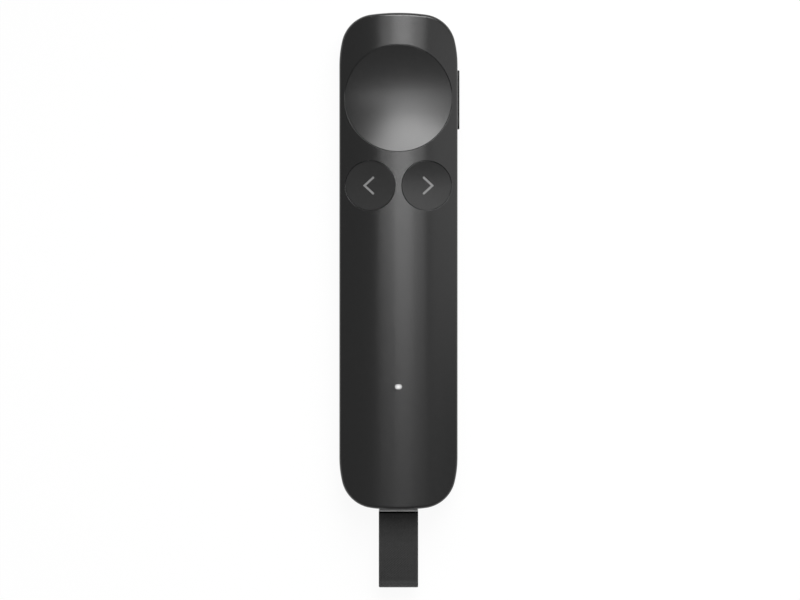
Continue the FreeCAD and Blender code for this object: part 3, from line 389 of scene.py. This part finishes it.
# %% [markdown]
# The chevrons are light grey inlays, and the status window is a milky light guide that is lit in the
# picture. A lit thing needs its own light: it glows at its top, most in the middle where the light
# source stands right under it, and less and less down the guide and out to its edge.

# %% Chevrons and status window
INLAY_GREY, INLAY_DARKER, INLAY_LIGHTER = 0.22, 0.195, 0.245
INLAY_ROUGHNESS = 0.5
INLAY_CLOUD, INLAY_GRAIN, INLAY_DEPTH = 0.3 * MM, 0.05 * MM, 0.002 * MM

inlay = Finish("grey_inlay", grey(INLAY_GREY), INLAY_ROUGHNESS)
cloud = inlay.noise(INLAY_CLOUD)
inlay.set("Base Color", mix_colours(cloud, grey(INLAY_DARKER), grey(INLAY_LIGHTER)))
inlay.bump(inlay.noise(INLAY_GRAIN), INLAY_DEPTH)
FINISHES["icon_print"] = inlay.material

WINDOW_SIZE = (1.8 * MM, 1.3 * MM)
EDGE_GLOW, MIDDLE_GLOW = 0.1, 0.7
MILK_GREY, MILK_DARKER, MILK_LIGHTER = 0.3, 0.26, 0.34
MILK_CLOUD = 0.4 * MM
MILK_ROUGHNESS, MILK_ROUGHNESS_CHANGE = 0.2, 0.1

guide_low, guide_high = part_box("light_pipe")
guide_middle = (guide_low + guide_high) / 2
window = Finish("milky_light_guide", grey(MILK_GREY), MILK_ROUGHNESS, Emission_Strength=1.0)
rise = window.axis("Z").within(guide_low.z, guide_high.z)
across = (window.axis("X") - guide_middle.x) / (WINDOW_SIZE[0] / 2)
down = (window.axis("Y") - guide_middle.y) / (WINDOW_SIZE[1] / 2)
spot = (1.0 - (across * across + down * down).math("SQRT")).within(0.0, 1.0)
glow = rise * (EDGE_GLOW + (MIDDLE_GLOW - EDGE_GLOW) * spot)
cloud = window.noise(MILK_CLOUD)
window.set("Base Color", mix_colours(cloud, grey(MILK_DARKER), grey(MILK_LIGHTER)))
window.set("Emission Color", mix_colours(glow, grey(0.0), grey(1.0)))
window.set("Roughness", MILK_ROUGHNESS + MILK_ROUGHNESS_CHANGE * cloud)
FINISHES["clear_light_pipe"] = window.material
print("Light guide:", round((guide_high.z - guide_low.z) / MM, 1), "mm long")

# %% [markdown]
# The pad underneath is an elastomer sheet with a fine moulded dimple, so that it grips a desk. Voronoi
# cells give the dimples, and the wide roughness takes away nearly all shine.

# %% Back pad
PAD_GREY, PAD_CLEAN, PAD_DUSTY = 0.012, 0.010, 0.018
PAD_ROUGHNESS, DUST_ROUGHNESS = 0.72, 0.12
DUST_PATCH = 4.0 * MM
DIMPLE_PITCH, DIMPLE_DEPTH = 0.9 * MM, 0.05 * MM
DIMPLE_FLOOR, DIMPLE_RIM = 0.15, 0.45  # as shares of the pitch, out from a dimple's middle

pad = Finish("dimpled_elastomer", grey(PAD_GREY), PAD_ROUGHNESS)
cells = pad.paint.node("TexVoronoi", None, {"Vector": pad.place, "Scale": 1 / DIMPLE_PITCH})
dust = pad.noise(DUST_PATCH, RICH)
pad.set("Base Color", mix_colours(dust, grey(PAD_CLEAN), grey(PAD_DUSTY)))
pad.set("Roughness", PAD_ROUGHNESS + DUST_ROUGHNESS * dust)
pad.bump(cells.within(DIMPLE_FLOOR, DIMPLE_RIM), DIMPLE_DEPTH)
FINISHES["pad_rubber"] = pad.material
print("Dimples are", round(DIMPLE_PITCH / MM, 1), "mm apart")

# %% [markdown]
# Metal parts differ in how they were made. Sheet steel is rolled and plated, with fine scratches
# along it. Screws are zinc plated, which leaves coarser marks and a dull bloom. The end cap is satin.
# One recipe makes all three, because only its numbers differ: a metallic shader, stretched noise for
# the scratches, and a cloud in the plating.

# %% Metals
SCRATCH_STRETCH = (1, 24, 1)
PLATING_CLOUD = 2.5 * MM
PLATING_SHADES = (0.82, 1.08)
METAL_ROUGHNESS_DROP, METAL_ROUGHNESS_CHANGE = 0.06, 0.08
# Each metal's name, grey, roughness, width of its scratches and their depth
METALS = {
    "cap_metal": ("satin_cap", 0.4, 0.38, 0.04 * MM, 0.002 * MM),
    "plated_steel": ("plated_sheet", 0.62, 0.28, 0.05 * MM, 0.002 * MM),
    "screw_steel": ("zinc_plate", 0.45, 0.38, 0.08 * MM, 0.004 * MM),
}


def metal(name, level, roughness, scratch, relief):
    """A plated metal with long fine scratches along Y and cloudy plating."""
    made = Finish(name, grey(level), roughness, Metallic=1.0)
    scratches = made.noise(scratch, CLOUDY, SCRATCH_STRETCH)
    cloud = made.noise(PLATING_CLOUD, CLOUDY)
    darker, lighter = (grey(level * shade) for shade in PLATING_SHADES)
    made.set("Base Color", mix_colours(cloud, darker, lighter))
    least = roughness - METAL_ROUGHNESS_DROP
    change = METAL_ROUGHNESS_CHANGE
    made.set("Roughness", least + change * scratches + change * cloud)
    made.bump(scratches, relief)
    return made.material


for slot_name, recipe in METALS.items():
    FINISHES[slot_name] = metal(*recipe)
print("Metals:", len(METALS))

# %% [markdown]
# The battery cell is a pouch of foil round a soft pack, so it has creases where it was pressed and
# sealed. Noise would give it round dents. The borders between Voronoi cells are thin and straight and
# meet at points, as creases do.

# %% Pouch foil
FOIL_GREY = 0.6
FOIL_ROUGHNESS, FOIL_ROUGHNESS_CHANGE = 0.26, 0.16
FOIL_PATCH = 1.5 * MM
CREASE_SPACING, CREASE_SHARE, CREASE_DEPTH = 3.2 * MM, 0.25, 0.05 * MM

foil = Finish("pouch_foil", grey(FOIL_GREY), FOIL_ROUGHNESS, Metallic=1.0)
creases = foil.paint.node(
    "TexVoronoi",
    {"feature": "DISTANCE_TO_EDGE"},
    {"Vector": foil.place, "Scale": 1 / CREASE_SPACING, "Randomness": 1.0},
)
patches = foil.noise(FOIL_PATCH, RICH)
foil.set("Roughness", FOIL_ROUGHNESS + FOIL_ROUGHNESS_CHANGE * patches)
foil.bump(creases.within(0.0, CREASE_SHARE), CREASE_DEPTH)
FINISHES["cell_foil"] = foil.material
print("Creases in the foil are", round(CREASE_SPACING / MM, 1), "mm apart")

# %% [markdown]
# The moulded plastics inside are told apart by colour and by how dull the mould left them. One recipe
# makes them all: a faint cloud in the colour, a fine mould texture, and a little change in shine.

# %% Moulded plastics
MOULDING_CLOUD = 0.8 * MM
MOULDING_SHADES = (0.85, 1.12)
MOULDING_ROUGHNESS_CHANGE = 0.1
TEXTURE_DEPTH = 0.006 * MM


def shaded(colour, shade):
    """A colour made darker or lighter, with no part above white."""
    return (*[min(1.0, shade * level) for level in colour], 1)


def moulding(name, colour, roughness, texture):
    """A moulded plastic of that colour."""
    made = Finish(name, (*colour, 1), roughness)
    cloud = made.noise(MOULDING_CLOUD, CLOUDY)
    darker, lighter = (shaded(colour, shade) for shade in MOULDING_SHADES)
    made.set("Base Color", mix_colours(cloud, darker, lighter))
    least = roughness - MOULDING_ROUGHNESS_CHANGE / 2
    made.set("Roughness", least + MOULDING_ROUGHNESS_CHANGE * cloud)
    made.bump(made.noise(texture), TEXTURE_DEPTH)
    return made


# Each plastic's colour, roughness and the size of its mould texture
MOULDINGS = {
    "chip_package": ((0.018, 0.018, 0.019), 0.55, 0.06 * MM),
    "contact_plastic": ((0.016, 0.016, 0.017), 0.45, 0.09 * MM),
    "plunger_plastic": ((0.10, 0.10, 0.10), 0.4, 0.12 * MM),
    "adhesive_tape": ((0.72, 0.70, 0.60), 0.6, 0.3 * MM),
    "connector_plastic": ((0.78, 0.75, 0.66), 0.42, 0.1 * MM),
    "red_sleeve": ((0.50, 0.02, 0.015), 0.35, 0.15 * MM),
    "black_sleeve": ((0.015, 0.015, 0.016), 0.35, 0.15 * MM),
}
for slot_name, recipe in MOULDINGS.items():
    FINISHES[slot_name] = moulding(slot_name.replace("_", "-") + "-skin", *recipe).material
print("Mouldings:", len(MOULDINGS))

# %% [markdown]
# The port and the plug carry their contacts as gold plated strips on a dark carrier. The strips are a
# few hundredths of a millimetre high on the real ones, so here they are only a change of finish, laid
# out by how far across the carrier a point is.

# %% Contact strips
CONTACT_PITCH = 0.5 * MM
CONTACTS_HALF_WIDTH = 3 * MM
CONTACT_SHARE = 0.52
CARRIER_GREY, CARRIER_ROUGHNESS = 0.016, 0.45
GOLD, GOLD_SMOOTHER_BY = (0.78, 0.52, 0.16, 1), 0.18


def contact_carrier(name):
    """A dark carrier with gold strips across its flat faces."""
    made = moulding(name, *MOULDINGS["contact_plastic"])
    x = made.axis("X")
    in_pitch = abs((x / CONTACT_PITCH).math("FRACT") - 0.5) < CONTACT_SHARE / 2
    strip = in_pitch * (abs(x) < CONTACTS_HALF_WIDTH) * made.lies_flat()
    made.set("Base Color", mix_colours(strip, grey(CARRIER_GREY), GOLD))
    made.set("Metallic", strip)
    made.set("Roughness", CARRIER_ROUGHNESS - GOLD_SMOOTHER_BY * strip)
    return made.material


contact_finish = contact_carrier("gold_strips")
print("Contacts to a face:", round(2 * CONTACTS_HALF_WIDTH / CONTACT_PITCH))

# %% [markdown]
# A capacitor is tan ceramic with tinned ends, and an antenna chip is much the same, only larger. The
# ends are found by how far a point is from the piece's middle, so each node gets its own copy.

# %% Ceramic parts with tinned ends
TAN_CERAMIC, CAPACITOR_END_SHARE = (0.34, 0.22, 0.12), 0.45
WHITE_CERAMIC, ANTENNA_END_SHARE = (0.72, 0.72, 0.68), 0.16
CERAMIC_CLOUD, CERAMIC_SHADE = 0.4 * MM, 0.8
CERAMIC_GRAIN, CERAMIC_DEPTH = 0.08 * MM, 0.004 * MM
CERAMIC_ROUGHNESS, TIN_GREY, TIN_SMOOTHER_BY = 0.45, 0.6, 0.15


def ceramic(node, colour, axis, end_share):
    """Ceramic with tinned ends along one axis."""
    low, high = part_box(node)
    index = "XYZ".index(axis)
    middle, half = (low[index] + high[index]) / 2, (high[index] - low[index]) / 2
    made = Finish(node + "_ceramic", (*colour, 1), CERAMIC_ROUGHNESS)
    end = abs(made.axis(axis) - middle) > half * (1 - end_share)
    cloud = made.noise(CERAMIC_CLOUD)
    tint = mix_colours(cloud, shaded(colour, CERAMIC_SHADE), (*colour, 1))
    made.set("Base Color", mix_colours(end, tint, grey(TIN_GREY)))
    made.set("Metallic", end)
    made.set("Roughness", CERAMIC_ROUGHNESS - TIN_SMOOTHER_BY * end)
    made.bump(made.noise(CERAMIC_GRAIN), CERAMIC_DEPTH)
    return made.material


OWN_FINISHES = {
    "back_key": back_skin,
    "side_key": side_skin,
    "charging_port_tongue": contact_finish,
    "receiver_plug_core": contact_finish,
    "capacitors": ceramic("capacitors", TAN_CERAMIC, "Y", CAPACITOR_END_SHARE),
    "antenna": ceramic("antenna", WHITE_CERAMIC, "X", ANTENNA_END_SHARE),
}
print("Nodes with a finish of their own:", len(OWN_FINISHES))

# %% [markdown]
# The status light is a small white package with yellow phosphor in its middle, under the light guide.
# The phosphor has a sharp edge, so a comparison with the distance from the middle draws it.

# %% Status light package
PACKAGE_GREY, PACKAGE_ROUGHNESS = 0.75, 0.3
PACKAGE_GRAIN, PACKAGE_DEPTH = 0.1 * MM, 0.004 * MM
PHOSPHOR, PHOSPHOR_HALF_WIDTH = (0.75, 0.5, 0.03, 1), 0.45 * MM

led = Finish("phosphor_package", grey(PACKAGE_GREY), PACKAGE_ROUGHNESS)
led_low, led_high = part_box("status_led")
off_middle = abs(led.axis("X") - (led_low.x + led_high.x) / 2)
under_lens = off_middle < PHOSPHOR_HALF_WIDTH
led.set("Base Color", mix_colours(under_lens, grey(PACKAGE_GREY), PHOSPHOR))
led.bump(led.noise(PACKAGE_GRAIN), PACKAGE_DEPTH)
FINISHES["led_package"] = led.material
print("Status light:", round((led_high.x - led_low.x) / MM, 1), "mm wide")

# %% [markdown]
# A circuit board is a sheet of glass cloth under green lacquer. Copper runs under the lacquer as
# slightly raised, lighter lanes, joined by small tinned holes, and the sawn edge shows the bare tan
# cloth. Lanes come from blocks of a brick pattern, holes from round Voronoi cells.

# %% Circuit board
LACQUER = (0.01, 0.09, 0.04, 1)
LACQUER_DEEP = (0.006, 0.055, 0.025, 1)
LACQUER_OVER_COPPER = (0.02, 0.15, 0.06, 1)
HOLE_TIN = (0.62, 0.6, 0.5, 1)
BARE_CLOTH, BARE_CLOTH_LIGHTER = (0.42, 0.36, 0.2, 1), (0.55, 0.48, 0.3, 1)
CLOTH_THREAD = 0.1 * MM
LANE_BLOCK, LANE_WIDTH, BLOCK_LENGTH = 5 * MM, 0.03, 0.7
HOLE_SPACING, HOLE_SHARE, HOLE_HEIGHT_SHARE = 2.2 * MM, 0.11, 0.5
COPPER_DEPTH = 0.02 * MM
EDGE_ROUGHNESS, LACQUER_SMOOTHER_BY = 0.7, 0.4
MORTAR_OUTPUT = 1  # the brick pattern's second output, 1 between its blocks

board = Finish("lacquered_board", LACQUER, EDGE_ROUGHNESS)
blocks = {"Scale": 1 / LANE_BLOCK, "Mortar Size": LANE_WIDTH, "Brick Width": BLOCK_LENGTH}
lanes = board.paint.node(
    "TexBrick",
    {"offset": 0.5, "squash": 1.0},
    {"Vector": board.place, **blocks},
    MORTAR_OUTPUT,
)
dots = board.paint.node("TexVoronoi", None, {"Vector": board.place, "Scale": 1 / HOLE_SPACING})
holes = dots < HOLE_SHARE
flat = board.lies_flat()
lacquer = mix_colours(lanes, LACQUER_DEEP, LACQUER_OVER_COPPER)
lacquer = mix_colours(holes, lacquer, HOLE_TIN)
cloth = mix_colours(board.noise(CLOTH_THREAD), BARE_CLOTH, BARE_CLOTH_LIGHTER)
board.set("Base Color", mix_colours(flat, cloth, lacquer))
board.set("Metallic", holes * flat)
board.set("Roughness", EDGE_ROUGHNESS - LACQUER_SMOOTHER_BY * flat)
board.bump(lanes + HOLE_HEIGHT_SHARE * holes, COPPER_DEPTH)
FINISHES["circuit_board"] = board.material
print("Holes in the board are about", round(HOLE_SPACING / MM, 1), "mm apart")

# %% [markdown]
# Now each construction node gets its finish by the material slot that the record names for it. Their
# meshes stay as they are, and only the material changes.

# %% Put the finishes on the construction
slots = {part["node"]: part["material_slot"] for part in frame["record"]["subparts"]}
finished = 0
for name, node in frame["nodes"].items():
    material = OWN_FINISHES.get(name) or FINISHES.get(slots[name])
    if material is None:  # the strap's solid, which a tape stands for further on
        continue
    node.data.materials.clear()
    node.data.materials.append(material)
    finished += 1
print("Finished nodes:", finished, "of", len(slots))

# %% [markdown]
# The strap is one tape, folded over into a slim loop whose two tails lie in the end cap's slot. A
# tape is flat until it is folded, so it is built by running a row of edges along its route: straight
# stretches by extrude, bends by spin. Then it gets its thickness, and soft edges like a woven one.

# %% Strap route
TAPE_THICKNESS = 0.8 * MM
LAYER_GAP = 0.1 * MM
FLARE_ANGLE = math.radians(6)
FLARE_RADIUS = 20 * MM
FLARE_LENGTH = 4 * MM
BELLY_RADIUS = 60 * MM
TAPE_COLUMNS = 10

strap_low, strap_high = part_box("strap")
tape_width = round(strap_high.x - strap_low.x, 5)
tape_middle_z = (strap_low.z + strap_high.z) / 2
start_height = (LAYER_GAP + TAPE_THICKNESS) / 2
flare_rise = FLARE_RADIUS * (1 - math.cos(FLARE_ANGLE)) + FLARE_LENGTH * math.sin(FLARE_ANGLE)
fold_radius = (start_height + flare_rise) / math.cos(FLARE_ANGLE)
flare_reach = FLARE_RADIUS * math.sin(FLARE_ANGLE) + FLARE_LENGTH * math.cos(FLARE_ANGLE)
belly_reach = 2 * BELLY_RADIUS * math.sin(FLARE_ANGLE)
fold_reach = fold_radius * (1 - math.sin(FLARE_ANGLE))
tail_length = strap_high.y - (strap_low.y + TAPE_THICKNESS / 2)
tail_length -= flare_reach + belly_reach + fold_reach
half_fold = math.pi / 2 - FLARE_ANGLE
# Each step is a straight run, or a turn of some radius whose positive angle turns outwards.
outwards = [
    ("turn", FLARE_RADIUS, FLARE_ANGLE),
    ("run", FLARE_LENGTH),
    ("turn", BELLY_RADIUS, -2 * FLARE_ANGLE),
    ("turn", fold_radius, -half_fold),
]
route = outwards + outwards[::-1] + [("run", tail_length)]
print("Straight tail:", round(tail_length / MM, 2), "mm")

# %% Run the tape along its route
TURN_STEP = math.radians(6)
LEAST_STEPS = 6

bpy.ops.object.select_all(action="DESELECT")
bpy.ops.mesh.primitive_grid_add(
    x_subdivisions=TAPE_COLUMNS,
    y_subdivisions=1,
    size=1,
    location=(0, strap_high.y - tail_length / 2, tape_middle_z + start_height),
)
tape = bpy.context.object
tape.name = "pull_tape"
tape.scale = (tape_width, tail_length, 1)
bpy.ops.object.transform_apply(location=True, rotation=True, scale=True)
y, z, heading = strap_high.y - tail_length, tape_middle_z + start_height, math.pi
for part in (*tape.data.polygons, *tape.data.edges):
    part.select = False
for vertex in tape.data.vertices:
    vertex.select = vertex.co.y < y + tail_length / 2
bpy.context.tool_settings.mesh_select_mode = (True, False, False)
bpy.ops.object.mode_set(mode="EDIT")
for step in route:
    if step[0] == "run":
        move = Vector((0, step[1] * math.cos(heading), step[1] * math.sin(heading)))
        bpy.ops.mesh.extrude_edges_move(TRANSFORM_OT_translate={"value": move})
        y += move.y
        z += move.z
        continue
    radius, turn = step[1], -step[2]
    side = heading + math.copysign(math.pi / 2, turn)
    centre = Vector((0, y + radius * math.cos(side), z + radius * math.sin(side)))
    steps = max(LEAST_STEPS, math.ceil(abs(turn) / TURN_STEP))
    bpy.ops.mesh.spin(steps=steps, angle=-turn, center=centre, axis=(1, 0, 0))
    heading += turn
    way = side + math.pi + turn
    y = centre.y + radius * math.cos(way)
    z = centre.z + radius * math.sin(way)
bpy.ops.object.mode_set(mode="OBJECT")
print("The tape ends at", round(y / MM, 2), round(z / MM, 2), "mm")

# %% [markdown]
# The weave has to follow the tape round its fold, so the pattern can't read plain coordinates. Each
# row of the mesh is one more step along the tape, so a UV map is written row by row: how far across
# and how far along, in metres. A thread is then as wide at the fold as on the flat.

# %% Lay the tape's UV map
corners = [vertex.co.copy() for vertex in tape.data.vertices]
row_size = TAPE_COLUMNS + 1
rows = [corners[start : start + row_size] for start in range(0, len(corners), row_size)]
# The grid's far row is the tail's end, and every other row follows from its near row.
order = [1, 0, *range(2, len(rows))]
along = {order[0]: 0.0}
for last, row in zip(order, order[1:]):
    along[row] = along[last] + (rows[row][0] - rows[last][0]).length
tape_uv = tape.data.uv_layers.new(name="tape")
for loop in tape.data.loops:
    row = loop.vertex_index // row_size
    tape_uv.data[loop.index].uv = (corners[loop.vertex_index].x, along[row])

# %% Give the tape its thickness and rounded edges
SELVEDGE_ROUND = 0.3 * MM
SELVEDGE_SEGMENTS = 3
LEAST_EDGE_ANGLE = math.radians(60)


def apply_all(piece):
    """Applies every modifier of a piece."""
    bpy.context.view_layer.objects.active = piece
    for modifier in list(piece.modifiers):
        bpy.ops.object.modifier_apply(modifier=modifier.name)


thick = tape.modifiers.new("thickness", "SOLIDIFY")
thick.thickness = TAPE_THICKNESS
thick.offset = 0
thick.use_even_offset = True
soft = tape.modifiers.new("soft edges", "BEVEL")
soft.width = SELVEDGE_ROUND
soft.segments = SELVEDGE_SEGMENTS
soft.limit_method = "ANGLE"
soft.angle_limit = LEAST_EDGE_ANGLE
apply_all(tape)
bpy.ops.object.mode_set(mode="EDIT")
bpy.ops.mesh.select_all(action="SELECT")
bpy.ops.mesh.normals_make_consistent(inside=False)
bpy.ops.object.mode_set(mode="OBJECT")
bpy.ops.object.shade_smooth()
print("Tape faces:", len(tape.data.polygons))

# %% [markdown]
# Woven nylon tape is a plain weave of bundled threads: warp along it, weft across, each passing over
# and under the next. Two rounded waves and a checker that picks between them give the relief. Its dark
# colour shows as soft, wide shine, with a little sheen from loose fibre. Its fold and its edges are
# painted paler, a painted highlight where they turn away and catch light. Where it leaves the cap, a
# narrow band is painted black, painted shade under the cap's lip: a metallic finish with a black base
# mirrors nothing, which a plastic one always does a little.

# %% Strap finish
WARP_PITCH = 0.36 * MM
WEFT_PITCH = 0.30 * MM
# Length of the black band of painted shade where the tape leaves the cap, under the cap's lip
ROOT_SHADE_BAND = 0.45 * MM
# Lengths of the painted highlights on the fold's end and on the tape's edges
FOLD_HIGHLIGHT = 2.1 * MM
EDGE_HIGHLIGHT, EDGE_HIGHLIGHT_SHARE = 0.5 * MM, 0.4
TAPE_GREY, THREAD_DARK, THREAD_LIGHT = 0.014, 0.008, 0.020
# The grey of the painted highlights, and the black of the painted shade
HIGHLIGHT_GREY, ROOT_SHADE_GREY = 0.07, 0.001
THREAD_SHARE, PATCH_SHARE, WEAR_PATCH = 0.7, 0.3, 2.2 * MM
FIBRE, FIBRE_SHARE, THREAD_HEIGHT = 0.03 * MM, 0.2, 0.06 * MM
TAPE_ROUGHNESS, FIBRE_ROUGHNESS = 0.58, 0.1
LOOSE_FIBRE = {"Sheen_Weight": 0.45, "Sheen_Roughness": 0.3}

weave = Finish("woven_tape", grey(TAPE_GREY), TAPE_ROUGHNESS, **LOOSE_FIBRE)
uv = weave.paint.node("UVMap", {"uv_map": "tape"})
across = weave.paint.node("SeparateXYZ", None, {0: uv}, "X") / WARP_PITCH
down = weave.paint.node("SeparateXYZ", None, {0: uv}, "Y") / WEFT_PITCH
warp_round = abs((across * math.pi).math("SINE"))
weft_round = abs((down * math.pi).math("SINE"))
over = (across.math("FLOOR") + down.math("FLOOR")).math("FLOORED_MODULO", 2.0)
threads = over * warp_round + (1 - over) * weft_round
fibre = weave.noise(FIBRE)
wear = weave.noise(WEAR_PATCH, CLOUDY)
cap_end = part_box("receiver_cap")[0].y
# Painted shade: the tape is painted black where it leaves the cap, in the shadow of the cap's lip
root_shade = weave.axis("Y") > cap_end - ROOT_SHADE_BAND
# Painted highlight: the fold's end and the edges are painted paler, where they turn away and catch
# light
fold_highlight = weave.axis("Y").within(strap_low.y + FOLD_HIGHLIGHT, strap_low.y)
edge_highlight = abs(weave.axis("X")).within(tape_width / 2 - EDGE_HIGHLIGHT, tape_width / 2)
painted_highlight = fold_highlight.math("MAXIMUM", EDGE_HIGHLIGHT_SHARE * edge_highlight)
shade = threads * THREAD_SHARE + wear * PATCH_SHARE
cloth = mix_colours(shade, grey(THREAD_DARK), grey(THREAD_LIGHT))
# The painted highlight on the fold and edges
cloth = mix_colours(painted_highlight, cloth, grey(HIGHLIGHT_GREY))
weave.set("Base Color", mix_colours(root_shade, cloth, grey(ROOT_SHADE_GREY)))
# The painted shade is metallic too, so that it mirrors nothing
weave.set("Metallic", root_shade)
weave.set("Roughness", TAPE_ROUGHNESS + FIBRE_ROUGHNESS * fibre)
weave.bump(threads + FIBRE_SHARE * fibre, THREAD_HEIGHT)
tape.data.materials.clear()
tape.data.materials.append(weave.material)
print("Threads across the tape:", round(tape_width / WARP_PITCH))

# %% Tie the tape to the receiver
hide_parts("strap")
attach(tape, "receiver")
